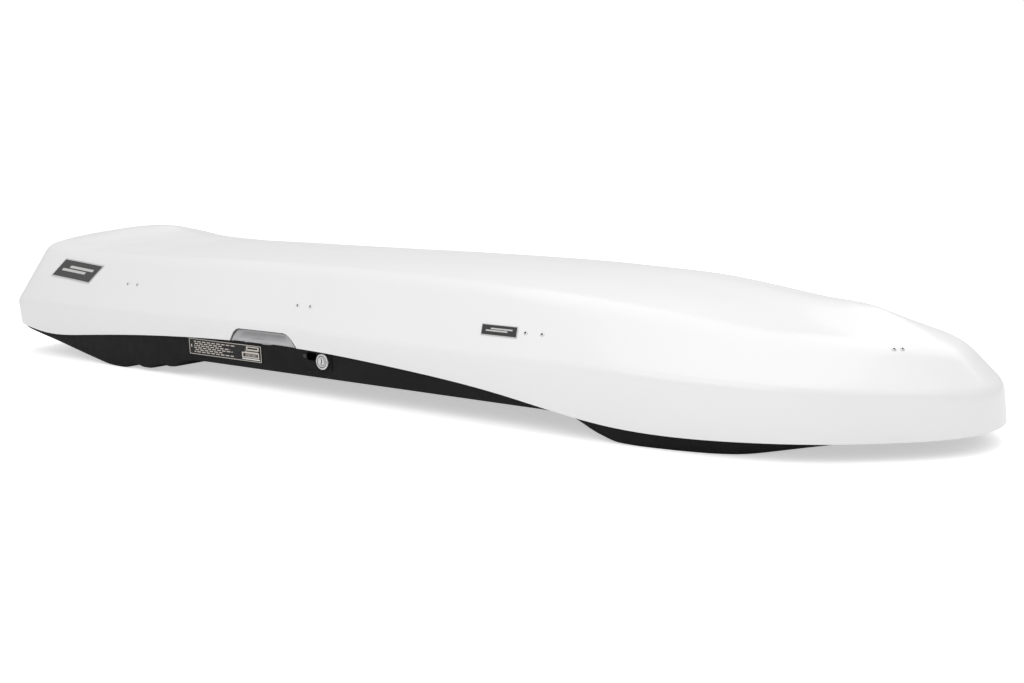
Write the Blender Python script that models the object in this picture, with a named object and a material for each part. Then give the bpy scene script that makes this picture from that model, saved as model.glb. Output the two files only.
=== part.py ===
"""Roof cargo box: a long gloss lid on a black tray, hinged inside along the +Y side.

Frame: +X towards the nose, -Y the opening side with the grip and the lock, +Z up.
The origin is at the bottom centre of the closed box.  Metres throughout.
"""
import math

import bpy
import bmesh
import numpy as np
from mathutils import Matrix, Vector
from mathutils.bvhtree import BVHTree

# ---------------------------------------------------------------- driving dimensions
HALF_WIDTH = 0.370          # half of the widest section, at the crease
TAIL_DATUM = -1.0945        # x of station distance 0
FLOOR = 0.042               # height of the flat floor's underside; the bellies reach 0
LID_WALL = 0.004
TRAY_WALL = 0.0035
GAP = 0.0003                # between pieces that touch
TRAY_LAP = 0.008            # how far the tray's edge reaches up inside the lid

HINGE_Y = 0.335
HINGE_Z = FLOOR + 0.022
HINGE_STATIONS = (0.45, 1.00, 1.50)
PIN_R = 0.003
EYE_R = 0.0075
ARM_HALF = 0.0125

STRUT_STATIONS = {"rear": 0.30, "front": 1.62}
STRUT_FOOT = (0.250, FLOOR + 0.035)     # y, z of the lower pivot
STRUT_HEAD = (0.000, FLOOR + 0.175)     # y, z of the upper pivot, lid closed

LOCK_STATION = 1.0585
LOCK_Z = FLOOR + 0.037
LOCK_FACE_R = 0.0165
WALL_FACE = 0.3576          # just clear of the tray's outer wall around the lock, as -y
CAM_R = 0.018               # cam pin's distance from the lock's axis

BAR_Y = (-0.340, -0.337)    # the sliding latch bar, a flat strip on edge
BAR_Z = (FLOOR + 0.042, FLOOR + 0.064)
BAR_SPAN = (0.28, 1.66)     # stations of its two ends
KEEPER_Z = FLOOR + 0.086    # crossbars that the hooks reach over
KEEPER_R = 0.004

RIVET_PAIRS = ((0.407, 0.1585, 0.036), (0.984, 0.1447, 0.036), (1.548, 0.132, 0.034), (2.1235, 0.1297, 0.011))
RIVET_HEAD_R = 0.0038
RIVET_SHANK_R = 0.0022
RIVET_SEAT = 0.0008         # under the head, clear of the lid's gently curved face

SLOT_STATIONS = (0.78, 1.45)    # where the two roof bars cross
SLOT_Y = 0.20
SLOT_OFFSET = 0.055
SLOT_SIZE = (0.090, 0.009)

# Half of the lid's control net, from the middle of the tail round the -Y side to the
# tip of the nose.  Each station has five points: rim, crease, shoulder, deck edge and
# spine.  A point is (distance forward, inset from the widest side line, height in mm
# above the floor).
STATIONS = [
    ((-.085, .370, 50), (-.083, .370, 98), (-.026, .370, 268), (.055, .370, 283), (.140, .370, 282)),
    ((-.082, .250, 49), (-.080, .250, 98), (-.024, .262, 264), (.060, .290, 278), (.145, .370, 282)),
    ((-.074, .140, 46), (-.072, .138, 97), (-.020, .175, 256), (.075, .235, 267), (.155, .370, 281)),
    ((-.058, .055, 42), (-.058, .050, 97), (-.012, .112, 246), (.100, .195, 255), (.175, .370, 277)),
    ((-.030, .016, 36), (-.030, .010, 97), (.006, .090, 240), (.135, .188, 248), (.205, .370, 272)),
    ((.010, .007, 31), (.010, .001, 97), (.055, .088, 234), (.190, .186, 243), (.255, .370, 266)),
    ((.090, .006, 21), (.090, .000, 96), (.120, .088, 227), (.250, .184, 240), (.310, .370, 261)),
    ((.240, .006, 26), (.240, .000, 95), (.250, .088, 222), (.350, .182, 237), (.390, .370, 254)),
    ((.450, .006, 43), (.450, .000, 96), (.450, .088, 221), (.490, .182, 236), (.510, .370, 252)),
    ((.700, .006, 56), (.700, .000, 97), (.700, .090, 223), (.710, .185, 234), (.720, .370, 248)),
    ((1.000, .006, 58), (1.000, .000, 94), (1.000, .090, 220), (1.000, .188, 232), (1.000, .370, 245)),
    ((1.250, .006, 44), (1.250, .000, 88), (1.250, .090, 213), (1.250, .190, 229), (1.250, .370, 242)),
    ((1.500, .006, 19), (1.500, .000, 87), (1.500, .090, 200), (1.500, .192, 221), (1.490, .370, 238)),
    ((1.700, .009, -10), (1.700, .003, 86), (1.690, .100, 182), (1.680, .196, 207), (1.650, .370, 235)),
    ((1.830, .018, -15), (1.830, .012, 83), (1.800, .115, 165), (1.790, .205, 194), (1.740, .370, 231)),
    ((1.950, .040, -12), (1.950, .034, 80), (1.905, .138, 152), (1.885, .218, 176), (1.830, .370, 221)),
    ((2.050, .083, -10), (2.050, .077, 75), (2.005, .172, 142), (1.970, .235, 161), (1.900, .370, 211)),
    ((2.116, .132, -10), (2.116, .126, 72), (2.067, .205, 136), (2.026, .255, 154), (1.950, .370, 204)),
    ((2.192, .199, -9), (2.190, .194, 67), (2.136, .246, 130), (2.088, .285, 151), (1.985, .370, 201)),
    ((2.253, .283, -7), (2.248, .281, 61), (2.188, .303, 125), (2.124, .325, 148), (2.005, .370, 198)),
    ((2.274, .370, -4), (2.266, .370, 58), (2.203, .370, 122), (2.137, .370, 147), (2.012, .370, 197)),
]
# The rim on the hinge side runs straight, so that the lid can turn past the tray's wall.
HINGE_SIDE_RIM = (50, 49, 47, 46, 45, 45, 45, 45, 45, 45, 45, 45, 45, 45, 38, 15, -4, -8, -8, -6, -4)

# The tray under the same stations: how far its wall stands inside the rim, the foot of
# the wall (inset from the rim, height in mm over the floor line there) and the edge of
# the floor (distance forward, inset).
TRAY_INSET = (.0065,) * 13 + (.007, .008, .010, .011, .011, .011, .011, .011)
WALL_FOOT = ((.0085, 5),) * 13 + ((.010, 6), (.012, 10), (.020, 18), (.030, 27), (.035, 27),
                                   (.040, 27), (.040, 29), (.040, 31))
FLOOR_EDGE = ((-.050, .370), (-.047, .260), (-.040, .150), (-.026, .080), (-.005, .045), (.030, .030),
              (.100, .024), (.245, .020), (.450, .018), (.700, .018), (1.000, .018), (1.250, .018),
              (1.500, .018), (1.700, .022), (1.822, .035), (1.920, .068), (1.962, .130), (1.982, .185),
              (1.992, .245), (1.998, .305), (2.000, .370))
# Underside along the box (distance forward, height in mm): a ramp under the tail, three
# cross ribs, the flat mounting floor, and the deeper belly under the nose.
KEEL = ((-.09, 34), (-.02, 26), (.10, 3), (.23, -22), (.33, -40), (.36, -42), (.40, -42), (.43, -30),
        (.445, -30), (.465, -35), (.500, -34), (.525, -20), (.540, -20), (.555, -24), (.585, -22),
        (.615, -4), (.66, 0), (1.62, 0), (1.64, -5), (1.68, -26), (1.72, -40), (1.76, -42), (2.10, -42))

LID_STEPS = (2,) * 20       # mesh steps between stations
TRAY_STEPS = (2, 2, 2, 2, 2, 2, 3, 7, 9, 2, 2, 2, 4, 4, 3, 3, 2, 2, 2, 2)
LID_PIECES = ("lid_shell", "lid_bow", "grip_insert", "keeper", "nose_locator", "hinge_arm", "hinge_rear_rivet",
              "hinge_middle_rivet", "hinge_front_rivet", "strut_fork", "tail_badge", "flank_badge")
ROUNDING = (.012, .026, .040)   # how far from the crease, shoulder and deck edge their curves begin


# ---------------------------------------------------------------- helpers
def clear_scene():
    for obj in list(bpy.data.objects):
        bpy.data.objects.remove(obj, do_unlink=True)


def material(name, colour, roughness, metallic=0.0):
    mat = bpy.data.materials.get(name)
    if mat is None:
        mat = bpy.data.materials.new(name)
        mat.use_nodes = True
        shader = mat.node_tree.nodes["Principled BSDF"]
        shader.inputs["Base Color"].default_value = (*colour, 1.0)
        shader.inputs["Roughness"].default_value = roughness
        shader.inputs["Metallic"].default_value = metallic
    return mat


def white_abs():
    return material("white_abs", (0.86, 0.87, 0.88), 0.18)


def black_abs():
    return material("black_abs", (0.022, 0.023, 0.025), 0.55)


def black_nylon():
    return material("black_nylon", (0.03, 0.03, 0.032), 0.5)


def grey_plastic():
    return material("grey_plastic", (0.42, 0.43, 0.45), 0.4)


def steel():
    return material("zinc_steel", (0.62, 0.62, 0.60), 0.35, 1.0)


def silver():
    return material("silver_cap", (0.78, 0.79, 0.80), 0.28, 1.0)


def printed_foil():
    return material("printed_foil", (0.03, 0.03, 0.03), 0.4)


def mesh_object(name, verts, faces, mat, location=(0, 0, 0)):
    """One closed mesh object; verts are in world metres, its origin goes to location."""
    mesh = bpy.data.meshes.new(name)
    origin = Vector(location)
    mesh.from_pydata([tuple(Vector(v) - origin) for v in verts], [], faces)
    mesh.validate()
    bm = bmesh.new()
    bm.from_mesh(mesh)
    bmesh.ops.recalc_face_normals(bm, faces=bm.faces)
    bm.to_mesh(mesh)
    bm.free()
    obj = bpy.data.objects.new(name, mesh)
    obj.location = origin
    mesh.materials.append(mat)
    bpy.context.scene.collection.objects.link(obj)
    return obj


def box(name, low, high, mat, location=(0, 0, 0)):
    x0, y0, z0 = low
    x1, y1, z1 = high
    verts = [(x0, y0, z0), (x1, y0, z0), (x1, y1, z0), (x0, y1, z0),
             (x0, y0, z1), (x1, y0, z1), (x1, y1, z1), (x0, y1, z1)]
    faces = [(0, 3, 2, 1), (4, 5, 6, 7), (0, 1, 5, 4), (1, 2, 6, 5), (2, 3, 7, 6), (3, 0, 4, 7)]
    return mesh_object(name, verts, faces, mat, location)


def prism(name, outline, axis, low, high, mat, location=(0, 0, 0)):
    """Extrude a flat outline along X, Y or Z from low to high."""
    def place(point, depth):
        a, b = point
        return {"X": (depth, a, b), "Y": (a, depth, b), "Z": (a, b, depth)}[axis]
    count = len(outline)
    verts = [place(p, low) for p in outline] + [place(p, high) for p in outline]
    faces = [tuple(range(count)), tuple(range(2 * count - 1, count - 1, -1))]
    faces += [(i, (i + 1) % count, (i + 1) % count + count, i + count) for i in range(count)]
    return mesh_object(name, verts, faces, mat, location)


def turned(name, profile, centre, axis, mat, segments=16, location=None):
    """Turn a closed (radius, height) profile about an axis; radius 0 points are poles."""
    direction = Vector(axis).normalized()
    turn = Vector((0, 0, 1)).rotation_difference(direction).to_matrix()
    verts = []
    rings = []
    for radius, height in profile:
        if radius == 0:
            rings.append([len(verts)])
            verts.append(Vector(centre) + direction * height)
            continue
        ring = []
        for k in range(segments):
            a = 2 * math.pi * k / segments
            ring.append(len(verts))
            verts.append(Vector(centre) + turn @ Vector((radius * math.cos(a), radius * math.sin(a), height)))
        rings.append(ring)
    faces = []
    pairs = list(zip(rings, rings[1:]))
    if profile[0][0] > 0:
        pairs.append((rings[-1], rings[0]))
    for lower, upper in pairs:
        for k in range(segments):
            n = (k + 1) % segments
            if len(lower) == 1:
                faces.append((lower[0], upper[n], upper[k]))
            elif len(upper) == 1:
                faces.append((lower[k], lower[n], upper[0]))
            else:
                faces.append((lower[k], lower[n], upper[n], upper[k]))
    return mesh_object(name, verts, faces, mat, centre if location is None else location)


def rod(name, centre, axis, radius, low, high, mat, segments=12):
    return turned(name, [(0, low), (radius, low), (radius, high), (0, high)], centre, axis, mat, segments)


def boolean(target, tool, operation="DIFFERENCE"):
    """Apply an exact Boolean now and remove the tool."""
    mod = target.modifiers.new("bool", "BOOLEAN")
    mod.operation = operation
    mod.solver = "EXACT"
    mod.object = tool
    bpy.context.view_layer.update()
    result = bpy.data.meshes.new_from_object(target.evaluated_get(bpy.context.evaluated_depsgraph_get()))
    target.modifiers.remove(mod)
    target.data = result
    bpy.data.objects.remove(tool, do_unlink=True)


def round_outline(low, high, radius, steps=4):
    """Outline of a rectangle with round corners, as (a, b) points."""
    (a0, b0), (a1, b1) = low, high
    points = []
    for ca, cb, start in ((a1 - radius, b1 - radius, 0), (a0 + radius, b1 - radius, 90),
                          (a0 + radius, b0 + radius, 180), (a1 - radius, b0 + radius, 270)):
        for k in range(steps + 1):
            angle = math.radians(start + 90 * k / steps)
            points.append((ca + radius * math.cos(angle), cb + radius * math.sin(angle)))
    return points


def empty(name, location):
    pivot = bpy.data.objects.new(name, None)
    pivot.location = location
    bpy.context.scene.collection.objects.link(pivot)
    return pivot


def put_on(pivot, *objects):
    bpy.context.view_layer.update()
    for obj in objects:
        obj.parent = pivot
        obj.matrix_parent_inverse = pivot.matrix_world.inverted()


def at(station):
    return TAIL_DATUM + station


# ---------------------------------------------------------------- the two shells
def closed_curve(values, steps):
    """Points of a smooth closed curve through the stations, steps[i] per span."""
    count = len(values)
    plan = values[:, 1, :2]
    spans = np.linalg.norm(np.roll(plan, -1, 0) - plan, axis=1)
    matrix = np.zeros((count, count))
    slopes = np.zeros(values.shape)
    for i in range(count):
        before, after = spans[i - 1], spans[i]
        nxt = (i + 1) % count
        matrix[i, i - 1] += before
        matrix[i, i] += 2 * (before + after)
        matrix[i, nxt] += after
        slopes[i] = 6 * ((values[nxt] - values[i]) / after - (values[i] - values[i - 1]) / before)
    curve = np.linalg.solve(matrix, slopes.reshape(count, -1)).reshape(values.shape)
    points = []
    for i in range(count):
        nxt = (i + 1) % count
        for k in range(steps[i]):
            b = k / steps[i]
            a = 1 - b
            bend = ((a ** 3 - a) * curve[i] + (b ** 3 - b) * curve[nxt]) * spans[i] ** 2 / 6
            points.append(a * values[i] + b * values[nxt] + bend)
    return np.array(points)


def mirrored(half):
    """Complete a half net (stations x rows x 3) with its mirror image about the middle."""
    other = half[1:-1][::-1].copy()
    other[:, :, 1] = 2 * HALF_WIDTH - other[:, :, 1]
    return np.concatenate([half, other])


def to_world(points):
    world = np.array(points)
    world[..., 0] += TAIL_DATUM
    world[..., 1] -= HALF_WIDTH
    world[..., 2] += FLOOR
    return world


def towards(start, end, distance):
    """A point that far along the line, but never past 0.45 of it."""
    return start + (end - start) * min(0.45, distance / np.linalg.norm(end - start))


def rounded_profile(row):
    """Section of the lid at one station: straight runs with a curve at each feature."""
    spine = row[4]
    beyond = 2 * spine - row[3]
    beyond[2] = row[3][2]
    line = list(row) + [beyond]
    section = [line[0]]
    for i in (1, 2, 3):
        entry = towards(line[i], line[i - 1], ROUNDING[i - 1])
        leave = towards(line[i], line[i + 1], ROUNDING[i - 1])
        section += [entry, 0.25 * entry + 0.5 * line[i] + 0.25 * leave, leave]
    entry = spine + (line[3] - spine) * 0.5
    section += [entry, 0.5 * entry + 0.5 * spine]
    section[-1][:2] = spine[:2]
    return section


def surface_object(name, rings, mat, wall, lift=0.0, side=-1):
    """Skin a closed stack of rings whose last row meets on the centreline, then thicken.

    lift moves the skin outwards first; side is -1 to thicken inwards and 1 outwards.
    """
    count = len(rings)
    rows = len(rings[0])
    mesh = bpy.data.meshes.new(name)
    bm = bmesh.new()
    grid = [[bm.verts.new(p) for p in ring] for ring in rings]
    for i in range(count):
        nxt = (i + 1) % count
        for j in range(rows - 1):
            bm.faces.new((grid[i][j], grid[nxt][j], grid[nxt][j + 1], grid[i][j + 1]))
    bmesh.ops.remove_doubles(bm, verts=bm.verts, dist=1e-5)
    bmesh.ops.dissolve_degenerate(bm, edges=bm.edges, dist=1e-6)
    bmesh.ops.recalc_face_normals(bm, faces=bm.faces)
    bm.normal_update()
    for vert, normal in [(v, v.normal.copy()) for v in bm.verts]:
        vert.co += normal * lift
    bm.to_mesh(mesh)
    bm.free()
    mesh.materials.append(mat)
    obj = bpy.data.objects.new(name, mesh)
    bpy.context.scene.collection.objects.link(obj)
    shell = obj.modifiers.new("wall", "SOLIDIFY")
    shell.thickness = wall
    shell.offset = side
    bpy.context.view_layer.update()
    solid = bpy.data.meshes.new_from_object(obj.evaluated_get(bpy.context.evaluated_depsgraph_get()))
    obj.modifiers.remove(shell)
    obj.data = solid
    return obj


def lid_net():
    half = np.array(STATIONS, float)
    half[:, :, 2] *= 0.001
    net = mirrored(half)
    for i, height in enumerate(HINGE_SIDE_RIM[1:-1], start=1):
        net[len(net) - i, 0, 2] = height * 0.001
    return net


def both_sides(steps):
    return tuple(steps) + tuple(reversed(steps))


def lid_rings():
    return to_world([rounded_profile(row) for row in closed_curve(lid_net(), both_sides(LID_STEPS))])


def make_lid():
    return surface_object("lid_shell", lid_rings(), white_abs(), LID_WALL)


def keel_height(distance):
    knots = np.array(KEEL)
    return np.interp(distance, knots[:, 0], knots[:, 1]) * 0.001


def inward(plan):
    """Unit normals of a closed plan outline, pointing inwards."""
    along = np.roll(plan, -1, 0) - np.roll(plan, 1, 0)
    normal = np.stack([-along[:, 1], along[:, 0]], 1)
    return normal / np.linalg.norm(normal, axis=1)[:, None]


def make_tray():
    lid = lid_net()
    count = len(STATIONS)
    half_index = list(range(count)) + list(range(count - 2, 0, -1))
    columns = []
    for i, k in enumerate(half_index):
        far = i >= count
        edge_x, edge_y = FLOOR_EDGE[k]
        if far:
            edge_y = 2 * HALF_WIDTH - edge_y
        columns.append([lid[i, 0], (edge_x, edge_y, 0), (TRAY_INSET[k], *WALL_FOOT[k])])
    dense = closed_curve(np.array([[c[0], c[0], c[1], c[2]] for c in columns], float), both_sides(TRAY_STEPS))
    rim = dense[:, 0]
    edge = dense[:, 2]
    inset, foot_in, foot_up = dense[:, 3].T
    normal = inward(rim[:, :2])
    rings = []
    for i in range(len(rim)):
        wall_xy = rim[i, :2] + normal[i] * inset[i]
        foot_xy = rim[i, :2] + normal[i] * foot_in[i]
        floor_z = keel_height(edge[i, 0])
        top_z = rim[i, 2] + TRAY_LAP
        foot_z = min(floor_z + foot_up[i] * 0.001, rim[i, 2] - 0.003)
        middle = (edge[i, 1] + HALF_WIDTH) / 2
        rings.append([(*wall_xy, top_z), (*foot_xy, foot_z),
                      (*(foot_xy * 0.4 + edge[i, :2] * 0.6), floor_z + (foot_z - floor_z) * 0.25),
                      (*edge[i, :2], floor_z), (edge[i, 0], middle, floor_z),
                      (edge[i, 0], HALF_WIDTH, floor_z)])
    return surface_object("base_tray", to_world(rings), black_abs(), TRAY_WALL)


# ---------------------------------------------------------------- places on the lid
class LidSkin:
    """Finds points on the lid's outer and inner faces."""

    def __init__(self, lid):
        self.tree = BVHTree.FromObject(lid, bpy.context.evaluated_depsgraph_get())

    def flank(self, x, z, side=-1):
        """Outer point and outward normal on the -Y (side -1) or +Y flank."""
        hit, normal, _, _ = self.tree.ray_cast(Vector((x, side * 1.0, z)), Vector((0, -side, 0)))
        if normal.y * side < 0:
            normal = -normal
        return hit, normal

    def flank_inside(self, x, z, side=-1):
        """y of the inner face at (x, z)."""
        hit, _, _, _ = self.tree.ray_cast(Vector((x, 0, z)), Vector((0, side, 0)))
        return hit.y

    def roof_inside(self, x, y):
        """z of the inner face above (x, y)."""
        hit, _, _, _ = self.tree.ray_cast(Vector((x, y, FLOOR + 0.08)), Vector((0, 0, 1)))
        return hit.z

    def roof_clearance(self, x, y, half_x, half_y):
        """Lowest inner height over a small rectangle."""
        return min(self.roof_inside(x + dx, y + dy)
                   for dx in (-half_x, 0, half_x) for dy in (-half_y, 0, half_y))


def rivet(name, point, normal):
    profile = [(0, 0.0024), (0.0025, 0.0021), (RIVET_HEAD_R, 0.0014), (RIVET_HEAD_R, RIVET_SEAT),
               (RIVET_SHANK_R, RIVET_SEAT), (RIVET_SHANK_R, -0.0080), (0, -0.0080)]
    return turned(name, profile, point, normal, silver(), 10)


def drill(target, point, normal, radius, depth):
    tool = rod("drill", point, normal, radius, -depth, 0.004, steel(), 10)
    boolean(target, tool)


def keeper_plate(skin, name, x, z, half_width, reach, foot_z, mat):
    """A plate behind the -Y flank at height z whose leg follows the lid down to foot_z."""
    def inner_y(height):
        return max(skin.flank_inside(x + dx, height) for dx in (-half_width, 0, half_width)) + 2 * GAP
    thick = 0.0025
    bend = foot_z + 0.020
    leg_y = inner_y(bend)
    outside = [(inner_y(z + reach), z + reach), (inner_y(z), z), (inner_y(z - reach), z - reach),
               (leg_y, bend), (leg_y, foot_z)]
    inside = [(y + thick, height) for y, height in reversed(outside)]
    piece = prism(name, outside + inside, "X", x - half_width, x + half_width, mat)
    return piece, leg_y


# ---------------------------------------------------------------- opening side
def make_grip(lid):
    """A grey grip let into the lid's lower edge, with a finger pocket."""
    x0, x1 = at(0.768), at(1.001)
    low, high = FLOOR + 0.040, FLOOR + 0.088
    base = FLOOR + 0.0575
    lean = (0.045, 0.040)               # how far the rear and front edges lean in at the top

    def corners(z, clear):
        rise = (z - low) / (high - low)
        return x0 + lean[0] * rise + clear, x1 - lean[1] * rise - clear

    def outline(z0, z1, clear):
        (a, b), (c, d) = corners(z0, clear), corners(z1, clear)
        return [(a, z0), (b, z0), (d, z1), (c, z1)]

    boolean(lid, prism("grip_cut", outline(low, high, 0), "Y", -0.40, -0.355, grey_plastic()))
    insert = prism("grip_insert", outline(base, high - 2 * GAP, 2 * GAP), "Y", -0.3715, -0.3648,
                   grey_plastic())
    pocket = prism("pocket", [(x0 + 0.060, base - 0.01), (x1 - 0.060, base - 0.01),
                              (x1 - 0.072, high - 0.010), (x0 + 0.075, high - 0.010)],
                   "Y", -0.39, -0.3665, grey_plastic())
    boolean(insert, pocket)
    return insert


def make_lock(tray):
    x = at(LOCK_STATION)
    centre = (x, 0, LOCK_Z)
    axis = (0, -1, 0)                   # heights in the profiles grow outwards
    hole = rod("lock_hole", centre, axis, 0.0152, 0.33, 0.39, steel(), 20)
    boolean(tray, hole)
    plate = prism("lock_escutcheon",
                  round_outline((x - 0.060, FLOOR + 0.0175), (x + 0.021, FLOOR + 0.056), 0.006),
                  "Y", -WALL_FACE - 0.0009, -WALL_FACE, black_abs())
    boolean(plate, rod("plate_hole", centre, axis, 0.0180, 0.34, 0.39, steel(), 24))
    recess = round_outline((x - 0.0460, LOCK_Z), (x - 0.0220, LOCK_Z + 0.015), 0.003)
    boolean(plate, prism("recess", recess, "Y", -0.38, -0.34, steel()))
    turned("lock_screw", [(0, WALL_FACE + 0.0036), (0.0032, WALL_FACE + 0.0034), (0.0045, WALL_FACE + 0.0026),
                          (0.0045, WALL_FACE + 0.0011), (0, WALL_FACE + 0.0011)],
           (x - 0.0525, 0, LOCK_Z + 0.007), axis, black_nylon(), 14)
    turned("lock_housing", [(0.0082, 0.3475), (0.0147, 0.3475), (0.0147, WALL_FACE), (0.0172, WALL_FACE),
                            (0.0172, 0.3612), (0.0082, 0.3612)], centre, axis, black_nylon(), 20)
    turned("lock_face", [(0.0080, 0.3615), (LOCK_FACE_R, 0.3615), (LOCK_FACE_R, 0.3636),
                         (0.0150, 0.3652), (0.0110, 0.3652), (0.0105, 0.3646), (0.0080, 0.3646)],
           centre, axis, silver(), 28)
    pivot = empty("lock_axis", (x, -0.3600, LOCK_Z))
    plug = rod("lock_plug", centre, axis, 0.0074, 0.3450, 0.3659, silver(), 16)
    boolean(plug, box("keyway", (x - 0.0009, -0.39, LOCK_Z - 0.0048), (x + 0.0009, -0.3600, LOCK_Z + 0.0048),
                      steel()))
    pin_x, pin_z = x - CAM_R * math.sin(math.pi / 4), LOCK_Z + CAM_R * math.cos(math.pi / 4)
    cam = rod("lock_cam", centre, axis, 0.024, 0.3412, 0.3447, steel(), 28)
    boolean(cam, rod("cam_pin", (pin_x, 0, pin_z), axis, 0.0025, 0.3358, 0.3430, steel(), 10), "UNION")
    put_on(pivot, plug, cam)


def make_latch_bar():
    x0, x1 = at(BAR_SPAN[0]), at(BAR_SPAN[1])
    z0, z1 = BAR_Z
    finger = (KEEPER_Z + KEEPER_R + 0.0015, KEEPER_Z + KEEPER_R + 0.0115)
    outline = [(x0, z0), (x1, z0), (x1, z1)]
    for station, _, _ in reversed(RIVET_PAIRS[:3]):
        x = at(station)
        outline += [(x - 0.031, z1), (x - 0.031, finger[0]), (x - 0.007, finger[0]),
                    (x - 0.009, finger[1]), (x - 0.045, finger[1]), (x - 0.047, z1)]
    outline.append((x0, z1))
    bar = prism("latch_bar", outline, "Y", BAR_Y[0], BAR_Y[1], black_nylon(), (at(LOCK_STATION), BAR_Y[0], z0))
    x = at(LOCK_STATION) - CAM_R * math.sin(math.pi / 4)
    boolean(bar, box("cam_slot", (x - 0.0036, -0.35, LOCK_Z + 0.0090), (x + 0.0036, -0.33, LOCK_Z + 0.0215),
                     steel()))


def make_latch_guides():
    for number, station in enumerate((0.68, 1.20, 1.60), start=1):
        x = at(station)
        z0, z1 = BAR_Z
        y0, y1 = BAR_Y
        slack = 0.0005
        foot = FLOOR + TRAY_WALL + GAP
        outline = [(y1 + slack, foot), (y1 + 0.030, foot), (y1 + 0.030, foot + 0.004), (y1 + 0.008, foot + 0.004),
                   (y1 + 0.008, z1 + 0.006), (y0 - 0.006, z1 + 0.006), (y0 - 0.006, z1 - 0.006),
                   (y0 - slack, z1 - 0.006), (y0 - slack, z1 + slack), (y1 + slack, z1 + slack),
                   (y1 + slack, z0 - slack), (y0 - slack, z0 - slack), (y0 - slack, z0 - 0.006),
                   (y1 + slack, z0 - 0.006)]
        prism(f"latch_guide_{number}", outline, "X", x - 0.011, x + 0.011, black_nylon())


def make_strikers(lid, skin):
    """Rivet pairs through the flank; the first three hold keepers for the hooks."""
    names = ("keeper_rear", "keeper_middle", "keeper_front", "nose_locator")
    for name, (station, height, pitch) in zip(names, RIVET_PAIRS):
        x = at(station)
        z = FLOOR + height
        holes = [skin.flank(x + dx, z) for dx in (-pitch / 2, pitch / 2)]
        if name == "nose_locator":
            piece = nose_locator(holes)
        else:
            piece, leg_y = keeper_plate(skin, name, x, z, 0.026, 0.012, KEEPER_Z - 0.006, steel())
            cross = rod("cross", (x, 0, KEEPER_Z), (0, 1, 0), KEEPER_R, leg_y + 0.001, BAR_Y[1] + 0.008,
                        steel(), 12)
            boolean(piece, cross, "UNION")
        for number, (point, normal) in enumerate(holes, start=1):
            drill(lid, point, normal, RIVET_SHANK_R + 0.0004, 0.012)
            drill(piece, point, normal, RIVET_SHANK_R + 0.0004, 0.020)
            rivet(f"{name}_rivet_{number}", point, normal)


def nose_locator(holes):
    """A flat plate behind the nose's flank."""
    (a, normal_a), (b, normal_b) = holes
    normal = (normal_a + normal_b).normalized()
    along = (b - a).normalized()
    up = normal.cross(along).normalized()
    if up.z < 0:
        up = -up
    middle = (a + b) / 2 - normal * (LID_WALL + 0.0026)
    verts = []
    for depth in (0, -0.0022):
        for i, j in ((-1, -1), (1, -1), (1, 1), (-1, 1)):
            verts.append(middle + along * (0.018 * i) + up * (0.010 * j) + normal * depth)
    faces = [(0, 1, 2, 3), (7, 6, 5, 4), (0, 4, 5, 1), (1, 5, 6, 2), (2, 6, 7, 3), (3, 7, 4, 0)]
    return mesh_object("nose_locator", verts, faces, steel())


# ---------------------------------------------------------------- hinge side
def clevis(name, x, y, floor_z, axis_z, half_inner, half_y, mat, plate=0.0025, ear=0.003):
    """A U bracket on the floor whose two ears carry a pin along X at (y, axis_z)."""
    top = axis_z + 0.008
    low = floor_z + GAP
    a, b = half_inner, half_inner + ear
    outline = [(x - b - 0.008, low), (x + b + 0.008, low), (x + b + 0.008, low + plate), (x + b, low + plate),
               (x + b, top), (x + a, top), (x + a, low + plate), (x - a, low + plate), (x - a, top),
               (x - b, top), (x - b, low + plate), (x - b - 0.008, low + plate)]
    piece = prism(name, outline, "Y", y - half_y, y + half_y, mat)
    boolean(piece, rod("hole", (x, y, axis_z), (1, 0, 0), PIN_R + 0.0004, -0.04, 0.04, mat, 12))
    return piece


def make_hinges(lid, skin):
    names = ("rear", "middle", "front")
    axle = empty("lid_hinge_axis", (0, HINGE_Y, HINGE_Z))
    for name, station in zip(names, HINGE_STATIONS):
        x = at(station)
        floor_z = FLOOR + TRAY_WALL
        clevis(f"hinge_bracket_{name}", x, HINGE_Y, floor_z, HINGE_Z, ARM_HALF + 0.001, 0.010, steel())
        rod(f"hinge_pin_{name}", (x, HINGE_Y, HINGE_Z), (1, 0, 0), PIN_R, -ARM_HALF - 0.006,
            ARM_HALF + 0.006, steel())
        arm = hinge_arm(f"hinge_arm_{name}", x, skin)
        holes = [skin.flank(x + dx, HINGE_Z + 0.112, 1) for dx in (-0.008, 0.008)]
        for number, (point, normal) in enumerate(holes, start=1):
            drill(lid, point, normal, RIVET_SHANK_R + 0.0004, 0.010)
            drill(arm, point, normal, RIVET_SHANK_R + 0.0004, 0.014)
            rivet(f"hinge_{name}_rivet_{number}", point, normal)
    return axle


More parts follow.
